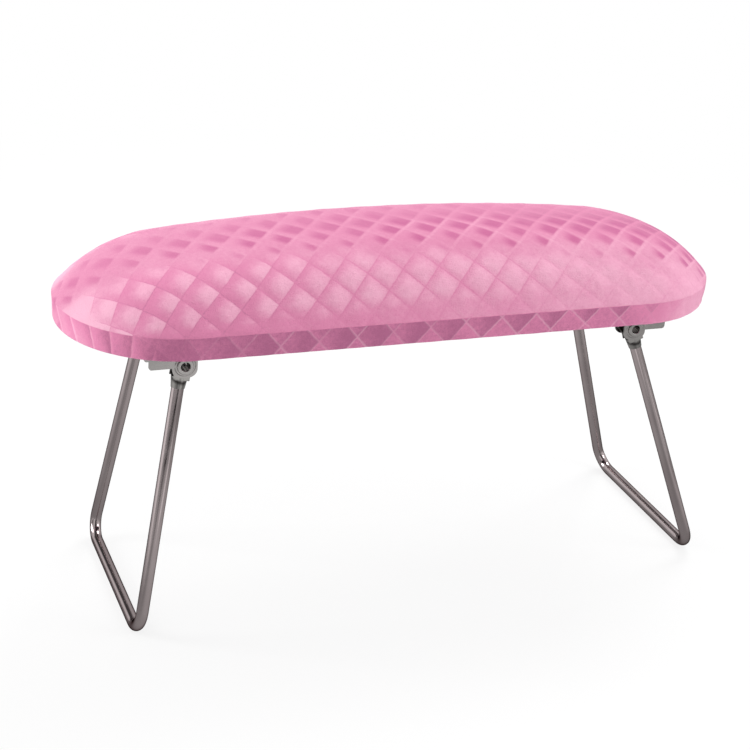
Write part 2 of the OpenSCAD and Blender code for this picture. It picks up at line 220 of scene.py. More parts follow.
# %% [markdown]
# ## The quilted cover: sewing
# Two families of seams cross at the same angle and make diamonds, 21.6 mm along the pad and
# 24 mm across it. The pattern is kept as two numbers, one for each family, that grow by one
# from seam to seam: their fractions say where in its diamond a point lies, and the material
# uses the same two numbers. Hand-pulled cloth is never quite even, so the lines wander by half
# a millimetre, the rows fan out a little towards the left, and a few soft tugs move the seams
# by some millimetres, as the photograph shows them. All lengths are in millimetres.

# %% The sewing pattern, from each point's place on the flat cloth
pitch_x, pitch_y, first_seam = 10.8, 12.0, 6.5
fan, wander, wander_size = 0.0007, 0.5, 60
seam_gap = 2 / math.hypot(1 / pitch_x, 1 / pitch_y)
tug_reach = (55, 26)
tugs = [  # a place on the flat cloth, and how far its seams were pulled there
    (-120, -5, 0.9, -0.3), (-40, -5, 0.3, -2.9), (40, -5, 1.0, -1.2), (120, -5, 3.4, 6.2),
    (-120, -40, 2.3, -1.1), (-40, -40, -0.8, -1.5), (40, -40, -0.3, -0.6), (120, -40, -1.1, 0.3),
]


def pulled(x, y):
    """How far the tugs move the seams at a place, along the pad and across it."""
    reach = [
        np.exp(-((x - tug[0]) / tug_reach[0]) ** 2 - ((y - tug[1]) / tug_reach[1]) ** 2)
        for tug in tugs
    ]
    return [sum(tug[i] * r for tug, r in zip(tugs, reach)) for i in (2, 3)]


def sewing(x, y):
    """How many seams of each family lie before a point of the flat cloth."""
    pull_x, pull_y = pulled(x, y)
    u = (x - pull_x - first_seam + wander * waves(x, y, wander_size, seed=3)) / pitch_x
    v = ((y - pull_y) / (1 - fan * x) + wander * waves(x, y, wander_size, seed=4)) / pitch_y
    return (u + v) / 2, (u - v) / 2


def off_seam(a):
    """Distance to the nearest seam of one family."""
    return np.abs(a - np.round(a)) * seam_gap


cloth_x = spine[None, :] + rho[:, None] * out[None, :, 0]
cloth_y = rho[:, None] * out[None, :, 1]
sew_a, sew_b = sewing(cloth_x, cloth_y)
near = np.minimum(off_seam(sew_a), off_seam(sew_b))
print("seams", round(seam_gap, 1), "mm apart")

# %% [markdown]
# ## The quilted cover: blowing up the diamonds
# Each diamond is cloth over wadding, held down on four sides. That is what a cloth solver is
# good at: a fine sheet is laid on the dome, its seams and its edge are pinned, and air pressure
# pushes the rest outwards. The sheet is cut a few per cent too large, so it puckers along the
# seams as sewn cloth does. Only the height above the smooth dome is kept, and it is capped, so
# the cover can't grow out of its place.

# %% A flat sheet on the dome, with its seams and its edge marked
cell = 2.0
seam_hold, rim_hold, rim_cut = 0.75 * cell, 3, 0.5  # beside a seam, and in from the edge
sheet_xs, sheet_ys = np.arange(-218, 218.1, cell), np.arange(-86, 86.1, cell)


def sheet_on_dome():
    """Points and normals of the sheet, and which of its points are used and which are held."""
    gx, gy = np.meshgrid(sheet_xs, sheet_ys)
    mid = np.clip(gx, -straight, straight)
    far = np.hypot(gx - mid, gy)
    safe = np.maximum(far, 1e-6)
    sheet = lay(mid, far, (gx - mid) / safe, gy / safe)
    a, b = sewing(gx, gy)
    held = (np.minimum(off_seam(a), off_seam(b)) < seam_hold) | (far > cloth_half - rim_hold)
    return sheet, unit_normals(sheet, 1, 0), far < cloth_half - rim_cut, held


print("sheet for the solver:", len(sheet_xs), "x", len(sheet_ys), "points")


# %% The cloth solver
def press(obj, frames):
    """Solve the cloth for some frames and give back where its points end."""
    cloth = obj.modifiers.new("cloth", "CLOTH")
    work = cloth.settings
    work.quality, work.mass, work.air_damping = 6, 0.15, 2.0
    work.tension_stiffness = work.compression_stiffness = 12
    work.shear_stiffness, work.bending_stiffness = 5, 0.3
    work.shrink_min = -0.05
    work.vertex_group_mass = "pins"
    work.use_pressure, work.uniform_pressure_force = True, 6.0
    work.effector_weights.gravity = 0
    cloth.collision_settings.use_collision = False
    cloth.point_cache.frame_start, cloth.point_cache.frame_end = 1, frames
    for frame_number in range(1, frames + 1):
        bpy.context.scene.frame_set(frame_number)
    shown = obj.evaluated_get(bpy.context.evaluated_depsgraph_get())
    end = np.empty(len(obj.data.vertices) * 3)
    shown.data.vertices.foreach_get("co", end)
    bpy.context.scene.frame_set(1)
    return end.reshape(-1, 3)


print("solver ready, quick look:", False)


# %% From the pressed sheet to heights, and from heights to any place between them
def blown_up(frames=16, scale=0.01):
    """Heights of the pressed sheet above the dome, on the sheet's grid, in millimetres."""
    sheet, up, inside, held = sheet_on_dome()
    used = np.flatnonzero(inside)
    number = np.full(inside.size, -1)
    number[used] = np.arange(len(used))
    number = number.reshape(inside.shape)
    quads = [number[:-1, :-1], number[:-1, 1:], number[1:, 1:], number[1:, :-1]]
    quads = np.stack(quads, -1).reshape(-1, 4)
    quads = quads[(quads >= 0).all(1)]
    start = sheet.reshape(-1, 3)[used] * scale
    mesh = bpy.data.meshes.new("sheet")
    mesh.from_pydata(start.tolist(), [], quads.tolist())
    obj = bpy.data.objects.new("sheet", mesh)
    bpy.context.scene.collection.objects.link(obj)
    pins = obj.vertex_groups.new(name="pins")
    pins.add(np.flatnonzero(held.ravel()[used]).tolist(), 1.0, "REPLACE")
    moved = (press(obj, frames) - start) / scale
    bpy.data.objects.remove(obj)
    bpy.data.meshes.remove(mesh)
    heights = np.zeros(inside.size)
    heights[used] = (moved * up.reshape(-1, 3)[used]).sum(1)
    return heights.reshape(inside.shape)


def read_grid(heights, x, y):
    """Values between the points of the sheet's grid."""
    i = np.clip((x - sheet_xs[0]) / cell, 0, len(sheet_xs) - 1.001)
    j = np.clip((y - sheet_ys[0]) / cell, 0, len(sheet_ys) - 1.001)
    i0, j0 = i.astype(int), j.astype(int)
    fi, fj = i - i0, j - j0
    return ((heights[j0, i0] * (1 - fi) + heights[j0, i0 + 1] * fi) * (1 - fj)
            + (heights[j0 + 1, i0] * (1 - fi) + heights[j0 + 1, i0 + 1] * fi) * fj)


print("read between two points:", float(read_grid(np.outer(sheet_ys, sheet_xs), 1.0, 1.0)))


# %% Heights of the diamonds, as shares of their full height
def rise(d, soft=3.4):
    """A rounded step up from a seam: 0 on it, 1 half-way to the next."""
    return (1 - np.exp(-d / soft)) / (1 - math.exp(-seam_gap / 2 / soft))


full_height, solved_share, lowest, highest = 1.0, 0.65, -0.2, 1.3
formula = rise(off_seam(sew_a)) * rise(off_seam(sew_b))
diamonds = formula
heights = blown_up()
top = float(np.percentile(heights[heights != 0], 97))
solved = np.clip(read_grid(heights, cloth_x, cloth_y) / top, lowest, highest)
on_band = ramp(past_edge, -8, -3)[:, None]
mixed = solved_share * solved + (1 - solved_share) * formula
diamonds = mixed * (1 - on_band) + formula * on_band
print("cloth solver lifts the diamonds by", round(top, 2), "mm, used as", full_height, "mm")
print("mean height of the diamonds:", round(float(diamonds.mean()), 2))

# %% Relief of the cover: diamonds, a lean towards their right-hand corner, and slack
crown_share, end_share, band_share = 0.22, 0.4, 0.6  # of the relief, where cloth is tight
corner_lift, slack_height, slack_size, sunk = 0.3, 0.12, 14, 0.5
band = ramp(past_edge, 0, 3)[:, None]
hem = ramp(past_edge, 11, 14)[:, None]
lean_up = (sew_a % 1 + sew_b % 1) / 2 - 0.5
slack = slack_height * waves(cloth_x, cloth_y, slack_size, seed=6) * rise(near, 2.0)
calm = crown_share + (1 - crown_share) * ramp(np.abs(cloth_y), 38, 52)
calm *= 1 - (1 - end_share) * ramp(np.abs(cloth_x), 125, 165) * (1 - band)
lift = full_height * diamonds + corner_lift * lean_up * rise(near, 1.0) + slack - sunk
relief = (1 - (1 - band_share) * band) * (1 - hem) * calm * lift
quilted = base + unit_normals(base, 1, 0) * relief[..., None]
quilted[..., 2] = np.maximum(quilted[..., 2], rim_z)
print("relief from", round(relief.min(), 2), "to", round(relief.max(), 2), "mm")

# %% The inner face of the cover closes the shell, which gives the cloth and wadding a thickness
wall, side_wall, lining_z = 3.2, 2.6, 1.4
inner = base_surface(np.linspace(0, cloth_half, 9)[::-1], wall, wall)
turn_in = np.stack([
    np.stack([spine + (half_w + w) * out[:, 0], (half_w + w) * out[:, 1], np.full(cols, z)], -1)
    for w, z in ((-hem_in, lining_z), (-side_wall, lining_z), (-side_wall, board_top))
])
shell = np.concatenate([quilted, turn_in, inner])
cover = ringed("quilted_velvet", shell)
layers = {
    "sew_a": sew_a,
    "sew_b": sew_b,
    "cloth_x": cloth_x,
    "cloth_y": cloth_y,
    "from_edge": np.repeat(past_edge[:, None], cols, 1),
}
for name, values in layers.items():
    values = np.concatenate([values, np.repeat(values[-1:], len(shell) - rings, 0)])
    layer = cover.data.attributes.new(name, "FLOAT", "POINT")
    layer.data.foreach_set("value", values.ravel())
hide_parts("quilted_cover")
print("cover:", len(cover.data.vertices), "points")

# %% [markdown]
# ## A small language for nodes
# Shader maths is easier to read as arithmetic than as a list of nodes. `Sock` wraps an output
# socket, and its operators add Math nodes. `Nodes.node` adds any other node, for a material,
# for the world or for Geometry Nodes: its settings are set first, then its inputs. Patterns
# take their place from the object's own coordinates, in metres, or from the cloth's flat
# coordinates, so they stay at their real scale and never swim.


# %% Sockets that can be reckoned with
class Sock:
    """An output socket. Arithmetic on it adds Math nodes."""
    def __init__(self, nodes, socket):
        self.nodes, self.socket = nodes, socket

    def math(self, op, *others): return self.nodes.maths(op, self, *others)

    def __add__(self, o): return self.math("ADD", o)
    def __sub__(self, o): return self.math("SUBTRACT", o)
    def __rsub__(self, o): return self.nodes.maths("SUBTRACT", o, self)
    def __mul__(self, o): return self.math("MULTIPLY", o)
    def __truediv__(self, o): return self.math("DIVIDE", o)
    def __rtruediv__(self, o): return self.nodes.maths("DIVIDE", o, self)
    def __pow__(self, o): return self.math("POWER", o)
    def __rpow__(self, o): return self.nodes.maths("POWER", o, self)
    __radd__ = __add__
    __rmul__ = __mul__

    def span(self, a, b, c=0.0, d=1.0):
        """This value from the span a..b, moved smoothly to c..d."""
        return self.nodes.node("ShaderNodeMapRange", {0: self, 1: a, 2: b, 3: c, 4: d},
                               interpolation_type="SMOOTHSTEP")[0]


class Outs:
    """The outputs of a node, by number or by name."""
    def __init__(self, nodes, outputs):
        self.nodes, self.outputs = nodes, outputs

    def __getitem__(self, key): return Sock(self.nodes, self.outputs[key])


print("operators that add a Math node: + - * / **")


# %% A tree of nodes
class Nodes:
    """A tree of nodes, with short ways to add to it."""
    def __init__(self, tree):
        self.tree = tree

    def plug(self, socket, v):
        """Link an input to a Sock, or give it a value."""
        if isinstance(v, Sock):
            self.tree.links.new(v.socket, socket)
        else:
            socket.default_value = v

    def node(self, kind, inputs=None, stops=(), **settings):
        """Any node: its settings and a ramp's stops of grey first, then its inputs."""
        node = self.tree.nodes.new(kind)
        for k, v in settings.items():
            setattr(node, k, v)
        for i, (pos, grey) in enumerate(stops):
            ends = {0: 0, len(stops) - 1: -1}
            elements = node.color_ramp.elements
            stop = elements[ends[i]] if i in ends else elements.new(pos)
            stop.position, stop.color = pos, (grey, grey, grey, 1)
        for k, v in (inputs or {}).items():
            self.plug(node.inputs[k], v)
        return Outs(self, node.outputs)

    def maths(self, op, *values):
        return self.node("ShaderNodeMath", dict(enumerate(values)), operation=op)[0]

    def mix(self, factor, a, b):
        return self.node("ShaderNodeMix", {0: factor, 6: a, 7: b}, data_type="RGBA")[2]


print("ways to add nodes: node, maths, mix")


# %% A material
class Mat(Nodes):
    """A material with one Principled shader."""
    def __init__(self, name):
        self.mat = bpy.data.materials.new(name)
        self.mat.use_nodes = True
        super().__init__(self.mat.node_tree)
        self.tree.nodes.clear()
        self.bsdf = self.tree.nodes.new("ShaderNodeBsdfPrincipled")
        self.output = self.tree.nodes.new("ShaderNodeOutputMaterial")
        self.shader = Sock(self, self.bsdf.outputs[0])
        self.plug(self.output.inputs[0], self.shader)

    def attribute(self, name):
        return self.node("ShaderNodeAttribute", attribute_name=name)[2]

    def place(self):
        return self.node("ShaderNodeTexCoord")["Object"]

    def noise(self, vector, scale, detail=2.0, rough=0.5):
        return self.node("ShaderNodeTexNoise", {"Vector": vector, "Scale": scale,
                                                "Detail": detail, "Roughness": rough})[0]

    def stretched(self, vector, scale):
        return self.node("ShaderNodeMapping", {"Vector": vector, "Scale": scale})[0]

    def bump(self, height, distance, strength=1.0):
        return self.node("ShaderNodeBump", {"Height": height, "Distance": distance,
                                            "Strength": strength})[0]

    def surface(self, **inputs):
        for k, v in inputs.items():
            self.plug(self.bsdf.inputs[k.replace("_", " ")], v)


print("patterns that a material knows: noise, stretched, bump")


# %% Dressing a piece, and colours
def dress(obj, material):
    obj.data.materials.clear()
    obj.data.materials.append(material)


def srgb(r, g, b):
    """A colour read off the photograph, 0 to 255, as the linear colour that a shader wants."""
    line = [((v / 255 + 0.055) / 1.055) ** 2.4 if v > 10 else v / 255 / 12.92 for v in (r, g, b)]
    return (*line, 1.0)


print("mid grey for a shader:", round(srgb(128, 128, 128)[0], 3))

# %% [markdown]
# ## Velvet
# Velvet is a short pile that stands up from a woven ground. It is darkest where one looks
# straight into it and pale where it is seen from the side, so part of its look is the sheen
# lobe. The rest is light and shade painted into the base colour, over the cloth's own pink and
# its random patches of brushed pile. On the crown each diamond gets a patch of painted shade,
# deepest at its right-hand corner, and pale painted highlights along the seams. On the slope,
# at the left each diamond runs from painted shade to a painted highlight at its right-hand
# corner, in the middle it is pale with soft painted shade in the seams, and at the right the
# slope is nearly plain and painted lighter, as lit from the right. The side band is painted
# dark as shade, and round the left tip it gets painted pleats, facets painted lit and shaded in
# turn. The fractions of the two sewing numbers draw all of that at the sharpness of the render,
# which a colour per mesh point could not.

# %% Velvet: where in its diamond a point lies
velvet = Mat("pink_velvet")
along, across = velvet.attribute("cloth_x"), velvet.attribute("cloth_y")
below = velvet.attribute("from_edge")
flat = velvet.node("ShaderNodeCombineXYZ", {0: along, 1: across})[0]
unsteady = (velvet.noise(flat, 0.35, 2.0) - 0.5) * 0.05
a, b = velvet.attribute("sew_a") + unsteady, velvet.attribute("sew_b") - unsteady
in_a, in_b = a.math("FRACT"), b.math("FRACT")
seam_a, seam_b = (v.math("PINGPONG", 0.5) * seam_gap for v in (a, b))
seam = seam_a.math("MINIMUM", seam_b)
rightward = (in_a + in_b) * 0.5
away = across.math("ABSOLUTE")
print("velvet nodes for the place:", len(velvet.tree.nodes))

# %% Velvet: parts of the pad, and unevenness of the pile
left_part, right_part = along.span(-110.0, -20.0, 1.0, 0.0), along.span(30.0, 110.0)
past_crest = across.span(-10.0, 14.0) * along.span(-60.0, 110.0, 0.5, 0.8)
brushed = velvet.noise(velvet.stretched(flat, (0.03, 0.05, 1)), 1.0).span(0.3, 0.7, -0.5, 0.5)
on_slope = (away - along * 0.075 + brushed * 5).span(29.0, 50.0)
low_slope = (away + along * 0.03 + brushed * 6).span(64.0, 74.0)
in_band = below.span(-0.4, 0.4) * along.span(115.0, 170.0, 1.0, 0.2)
mottled = velvet.noise(flat, 0.42, 3.0, 0.6) - 0.5
tuft = velvet.node("ShaderNodeTexVoronoi", {"Vector": flat, "Scale": 1.05, "Randomness": 0.5})
dots = tuft[0] - 0.4
patchy = velvet.noise(flat, 0.03).span(0.35, 0.6, 0.6, 1.0)
patchy = patchy * along.span(-150.0, -60.0, 0.75, 1.0)
print("velvet nodes with its parts:", len(velvet.tree.nodes))

# %% Velvet: tone of the crown, patches of painted shade between pale painted ridges
shrunk = (away - along * 0.08).span(2.0, 48.0, 0.04, 0.5)
# Each diamond's patch of painted shade, deepest at its right-hand corner
shade_patch = (in_a - shrunk).span(-0.04, 0.36) * (in_b - shrunk).span(-0.06, 0.46)
shade_patch = shade_patch * in_a.span(0.80, 0.96, 1.0, 0.0) * in_b.span(0.88, 0.98, 1.0, 0.0)
# Pale painted highlights on the ridges along the seams, fainter at the left
ridge_highlight = seam_b.span(0.3, 1.8, 0.15, 0.0) + seam_a.span(0.3, 1.4, 0.09, 0.0)
ridge_highlight = ridge_highlight * along.span(-120.0, 20.0, 0.4, 1.0)
strong = patchy * (away - along * 0.08 + brushed * 6).span(24.0, 46.0, 1.0, 0.3)
crown_shade = shade_patch * strong * (1.0 - past_crest)
# Painted shade in the patches and past the crest, painted highlights on the ridges
crown_tone = 0.44 + ridge_highlight * strong * (1.0 - past_crest * 0.7) - crown_shade * 0.2
crown_tone = crown_tone + away * 0.002 - past_crest * 0.06
# Painted light at the left; at the right painted shade near the crest, light further out
crown_tone = crown_tone + left_part * 0.08 + right_part * away.span(10.0, 44.0, -0.12, 0.16)
print("velvet nodes with the crown:", len(velvet.tree.nodes))

# %% Velvet: tone of the slope, diamonds with painted highlights and shade that fade low down and at the right
# Painted highlights: each diamond pales towards its right-hand corner
left_highlight = in_a.span(0.0, 0.65) * in_b.span(0.05, 0.7)
mid_highlight = in_a.span(-0.05, 0.3) * in_b.span(0.0, 0.4)
mid_highlight = mid_highlight * in_a.span(0.7, 1.0, 1.0, 0.5) * in_b.span(0.75, 1.0, 1.0, 0.75)
slope_highlight = left_highlight * left_part + mid_highlight * (1.0 - left_part)
# Painted light and shade: darker at the left, lighter at the right, shade in the seams
slope_tone = 0.59 - left_part * 0.18 + right_part * 0.16
slope_tone = slope_tone + slope_highlight * (0.22 + left_part * 0.19 - right_part * 0.18)
slope_tone = slope_tone - seam.span(0.0, 0.8, 0.18, 0.0) * (1.0 - right_part * 0.8)
# The left end of the slope is painted pale, with the painted ridge highlights
plain_end = along.span(-206.0, -188.0, 1.0, 0.0)
slope_tone = slope_tone * (1.0 - plain_end) + (0.74 + ridge_highlight * 0.4) * plain_end
# Low on the slope: painted lighter towards the right, faint painted shade in the seams
low_tone = 0.55 + along * 0.0015 - seam.span(0.0, 0.9, 0.06, 0.0)
slope_tone = slope_tone * (1.0 - low_slope) + low_tone * low_slope
print("velvet nodes with the slope:", len(velvet.tree.nodes))

# %% Velvet: tone of the side band, painted dark, a row of half diamonds in painted shade, and painted pleats round the left tip
# The band is painted dark as shade, with a row of half diamonds in painted shade
row = (a.math("FLOOR") - b.math("FLOOR")).math("ABSOLUTE")
folded = along.span(-150.0, -60.0, 0.25, 1.0)
upper_row = row.span(7.2, 7.8, 1.0, 0.0)
band_tone = row.span(7.2, 7.8, 0.12, 0.19) + row.span(5.5, 6.5, 0.20, 0.0)
band_tone = band_tone - upper_row * rightward.span(0.15, 0.75, 0.0, 0.17) - 0.11
band_tone = band_tone * folded + 0.11 + along * 0.0004
# Round the left tip, painted pleats: facets painted lit and shaded in turn, lightest at the tip
painted_pleats = 0.22 + in_b.span(0.02, 0.16, 0.26, 0.0) + in_b.span(0.5, 0.98, 0.0, -0.14)
painted_pleats = painted_pleats + along.span(-218.0, -198.0, 0.28, 0.0)
band_tone = band_tone + painted_pleats * along.span(-185.0, -158.0, 1.0, 0.0)
print("velvet nodes with the band:", len(velvet.tree.nodes))

# %% Velvet: all tones together
tone = crown_tone * (1.0 - on_slope) + slope_tone * on_slope
# Painted light on the left tip of the pad
tone = tone + along.span(-205.0, -165.0, 0.42, 0.0) * away.span(8.0, 30.0)
tone = tone * (1.0 - in_band) + band_tone * in_band
tone = tone + brushed * 0.10 + mottled * 0.34 + dots * 0.10
print("velvet nodes with all tones:", len(velvet.tree.nodes))

# %% Velvet: colour, sheen and the weave under the pile
colour = velvet.mix(tone.span(-0.1, 0.42), srgb(178, 104, 140), srgb(226, 138, 176))
colour = velvet.mix(tone.span(0.35, 1.05), colour, srgb(248, 186, 210))
# Painted shade: deep magenta in the crown's patches, and the crown a little darker overall
colour = velvet.mix(crown_shade * (1.0 - on_slope) * 0.95, colour, srgb(200, 96, 148))
colour = velvet.mix((1.0 - on_slope) * 0.2, colour, srgb(190, 122, 150))
# Painted highlight: paler along the seams of the side band, in random patches
band_seam_highlight = seam.span(0.1, 0.9, 0.6, 0.0) * in_band * folded * (patchy - 0.35)
colour = velvet.mix(band_seam_highlight, colour, srgb(232, 182, 202))
weave = velvet.noise(velvet.stretched(flat, (0.9, 2.2, 1)), 1.0, 1.0)
velvet.surface(
    Base_Color=colour,
    Roughness=0.85,
    Sheen_Weight=0.25,
    Sheen_Roughness=0.4,
    Sheen_Tint=srgb(255, 214, 232),
    Specular_IOR_Level=0.15,
    Normal=velvet.bump(dots * 0.8 + weave * 0.6 + mottled * 0.5, 0.0003, 0.8),
)
dress(cover, velvet.mat)
print("velvet nodes:", len(velvet.tree.nodes))

# %% [markdown]
# ## Under the cover
# Foam, board and dust cover don't show in the photograph, but the pad can be turned over. The
# foam is a smooth block of the same dome. The dust cover is thin non-woven cloth, drawn tight
# and stapled, so it is a fine grid that ripples by less than a tenth of a millimetre. It could
# be a plain extrusion, but a large face that is quite flat looks like plastic. The foam could
# not, because it has to fill the cover.

# %% Foam block and dust cover
foam_gap, liner_inset, liner_top, liner_low = 3.6, 7, 0.6, 0.02
ripple_height, ripple_size, tight_rim = 0.0192, 34, 8
foam_grid = base_surface(np.linspace(0, cloth_half, 24), foam_gap, foam_gap)
middle = np.stack([spine, 0 * spine, np.full(cols, board_top)], -1)[None]
foam = ringed("foam_block", np.concatenate([foam_grid, middle]))
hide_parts("foam_core")

liner_w = np.linspace(0, half_w - liner_inset, 30)
lx = spine[None, :] + liner_w[:, None] * out[None, :, 0]
ly = liner_w[:, None] * out[None, :, 1]
loose = ramp(half_w - liner_inset - liner_w, 0, tight_rim)[:, None]
ripple = ripple_height * (waves(lx, ly, ripple_size, seed=8) + 1) * loose
upper = np.stack([lx, ly, 0 * lx + liner_top], -1)
lower = np.stack([lx, ly, liner_low + ripple], -1)[::-1]
liner = ringed("dust_cover", np.concatenate([upper, lower]))
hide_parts("bottom_liner")
print("foam:", len(foam.data.vertices), "points, dust cover:", len(liner.data.vertices))


# %% Foam, non-woven cloth and plywood: one pattern each, for the colour and for a fine relief
def plain_finish(name, dark, pale, rough, relief, pattern):
    """A dull material whose one pattern mixes two colours and raises the surface."""
    mat = Mat(name)
    height = pattern(mat, mat.place())
    mat.surface(Base_Color=mat.mix(height, srgb(*dark), srgb(*pale)), Roughness=rough,
                Normal=mat.bump(height, relief))
    return mat.mat


def foam_cells(mat, p):
    return mat.node("ShaderNodeTexVoronoi", {"Vector": p, "Scale": 900.0})[0]


def fibres(mat, p):
    return mat.noise(mat.stretched(p, (900, 260, 500)), 1.0, 4.0, 0.7)


def grain(mat, p):
    return mat.noise(mat.stretched(p, (14, 240, 900)), 1.0, 4.0, 0.6)


dress(foam, plain_finish("foam", (226, 214, 176), (244, 238, 214), 0.95, 0.0006, foam_cells))
dress(liner, plain_finish("non_woven", (20, 20, 22), (58, 56, 58), 0.9, 0.0002, fibres))
plywood = plain_finish("plywood", (168, 128, 82), (214, 180, 130), 0.7, 0.0002, grain)
dress(nodes["base_board"], plywood)
print("hidden materials: foam, non_woven, plywood")

# %% [markdown]
# ## Staples
# The dust cover is stapled round its edge. What repeats along a path suits Geometry Nodes: one
# staple, resampled places on the outline, and a rotation from the outline's tangent. Its inputs
# are named, so the spacing can be changed in the modifier panel. The result is then turned into
# a plain mesh, because a physics or game pipeline can't read a node tree.

# %% One staple, the path that staples follow, and their steel
staple_inset, staple_z = 12, 0.02
line_w = half_w - staple_inset
turn_angles = np.linspace(-1.45, 1.45, 24)
path = [(-straight, -line_w), (straight, -line_w)]
path += [(straight + line_w * math.cos(a), line_w * math.sin(a)) for a in turn_angles]
path += [(straight, line_w), (-straight, line_w)]
path += [(-straight - line_w * math.cos(a), line_w * math.sin(a)) for a in turn_angles[::-1]]
path_mesh = bpy.data.meshes.new("staple_path")
path_mesh.from_pydata([tuple(v) for v in on_pad([(x, y, staple_z) for x, y in path])],
                      [(i, (i + 1) % len(path)) for i in range(len(path))], [])
path_obj = bpy.data.objects.new("staple_path", path_mesh)
bpy.context.scene.collection.objects.link(path_obj)

half_l, half_t, low_z, top_z = 0.0045, 0.00036, -0.0006, 0.0002
plan = [(-half_l, -half_t), (half_l, -half_t), (half_l, half_t), (-half_l, half_t)]
staple_points = [(x, y, z) for z in (low_z, top_z) for x, y in plan]
box_faces = [(0, 3, 2, 1), (4, 5, 6, 7), (0, 1, 5, 4), (1, 2, 6, 5), (2, 3, 7, 6), (3, 0, 4, 7)]
staple_mesh = bpy.data.meshes.new("staple")
staple_mesh.from_pydata(staple_points, [], box_faces)
staple_obj = bpy.data.objects.new("staple_source", staple_mesh)

steel = Mat("zinc_steel")
cloud = steel.noise(steel.place(), 700.0, 3.0)
steel.surface(Base_Color=steel.mix(cloud, srgb(150, 150, 150), srgb(186, 186, 186)), Metallic=1.0,
              Roughness=cloud.span(0.3, 0.7, 0.28, 0.42), Normal=steel.bump(cloud, 0.00005))
print("path for the staples:", len(path), "points")

# %% The node tree: a piece at even places along a path
tree = bpy.data.node_groups.new("along_path", "GeometryNodeTree")
tree.interface.new_socket("Geometry", in_out="INPUT", socket_type="NodeSocketGeometry")
wants = {"Piece": "Object", "Spacing": "Float", "Material": "Material"}
for label, kind in wants.items():
    tree.interface.new_socket(label, in_out="INPUT", socket_type="NodeSocket" + kind)
tree.interface.new_socket("Geometry", in_out="OUTPUT", socket_type="NodeSocketGeometry")
geo = Nodes(tree)
given = geo.node("NodeGroupInput")
curve = geo.node("GeometryNodeMeshToCurve", {0: given["Geometry"]})[0]
even = geo.node("GeometryNodeResampleCurve", {"Curve": curve, "Length": given["Spacing"]},
                mode="LENGTH")[0]
tangent = geo.node("GeometryNodeInputTangent")[0]
aim = geo.node("FunctionNodeAlignRotationToVector", {"Vector": tangent}, axis="X")[0]
staple = geo.node("GeometryNodeObjectInfo", {"Object": given["Piece"]})["Geometry"]
copies = geo.node("GeometryNodeInstanceOnPoints",
                  {"Points": even, "Instance": staple, "Rotation": aim})[0]
real = geo.node("GeometryNodeRealizeInstances", {0: copies})[0]
painted = geo.node("GeometryNodeSetMaterial", {0: real, "Material": given["Material"]})[0]
geo.node("NodeGroupOutput", {0: painted})
print("nodes that set the staples:", len(tree.nodes))

# %% Staples round the dust cover
staple_spacing = 0.036
mod = path_obj.modifiers.new("staples", "NODES")
mod.node_group = tree
keys = {s.name: s.identifier for s in tree.interface.items_tree
        if s.item_type == "SOCKET" and s.in_out == "INPUT"}
mod[keys["Piece"]] = staple_obj
mod[keys["Spacing"]] = staple_spacing
mod[keys["Material"]] = steel.mat
bpy.context.view_layer.update()
shown = path_obj.evaluated_get(bpy.context.evaluated_depsgraph_get())
made = bpy.data.meshes.new_from_object(shown)
bpy.data.objects.remove(path_obj)
staples = bpy.data.objects.new("staples", made)
bpy.context.scene.collection.objects.link(staples)
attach(staples, "pad")
print("staples:", len(made.polygons) // len(box_faces))

# %% [markdown]
# ## Bright tube and nickel-plated brackets
# Both are metal, so their colour is nearly all reflection, and the finish lies in what breaks
# the reflection up. The tube is polished and drawn, with faint lines along its length, and its
# edge tint is darker than real steel's, which paints shade on its sides. The brackets are
# stamped and barrel-plated, so they are a little cloudy. The folded plate that grips a tube
# gets a dark ring of painted shade round its pivot, where it sits in the gap inside the
# bracket. The CAD solids already have the right shape: the stampings only get a small bevel,
# because no real edge is perfectly sharp and a sharp edge never catches a highlight.

# %% Metals: tube and plate
tube_mat = Mat("bright_tube")
p = tube_mat.place()
drawn = tube_mat.noise(tube_mat.stretched(p, (900, 900, 14)), 1.0)
smear = tube_mat.noise(p, 60.0, 3.0)
# The edge tint is darker than real steel's, so the tube's sides go dark: painted shade
tube_mat.surface(
    Base_Color=tube_mat.mix(smear, srgb(176, 163, 164), srgb(202, 190, 190)), Metallic=1.0,
    Roughness=smear.span(0.3, 0.7, 0.10, 0.19), Specular_Tint=(0.12, 0.10, 0.10, 1.0),
    Normal=tube_mat.bump(drawn, 0.000003),
)
plate_mat = Mat("nickel_plate")
p = plate_mat.place()
cloud = plate_mat.noise(p, 260.0, 4.0, 0.6)
rolled = plate_mat.noise(plate_mat.stretched(p, (60, 2400, 2400)), 1.0)
plate_mat.surface(
    Base_Color=plate_mat.mix(cloud, srgb(158, 154, 152), srgb(194, 190, 188)), Metallic=1.0,
    Roughness=cloud.span(0.3, 0.7, 0.13, 0.24), Normal=plate_mat.bump(rolled + cloud, 0.000008),
)
print("tube nodes:", len(tube_mat.tree.nodes), "plate nodes:", len(plate_mat.tree.nodes))

# %% Metals: the folded plate, with a ring of painted shade round its pivot
pin_x, pin_z, pin_fall = 0.138, 0.15782, 0.02175  # left and right pivots, lower on the right
clasp_mat = Mat("fold_plate")
p = clasp_mat.place()
spot = clasp_mat.node("ShaderNodeSeparateXYZ", {0: p})
out_x, out_z = spot[0].math("ABSOLUTE") - pin_x, spot[2] + spot[0] * pin_fall - pin_z
from_axis = (out_x * out_x + out_z * out_z).math("SQRT")
from_axis = from_axis + clasp_mat.noise(p, 400.0) * 0.0012
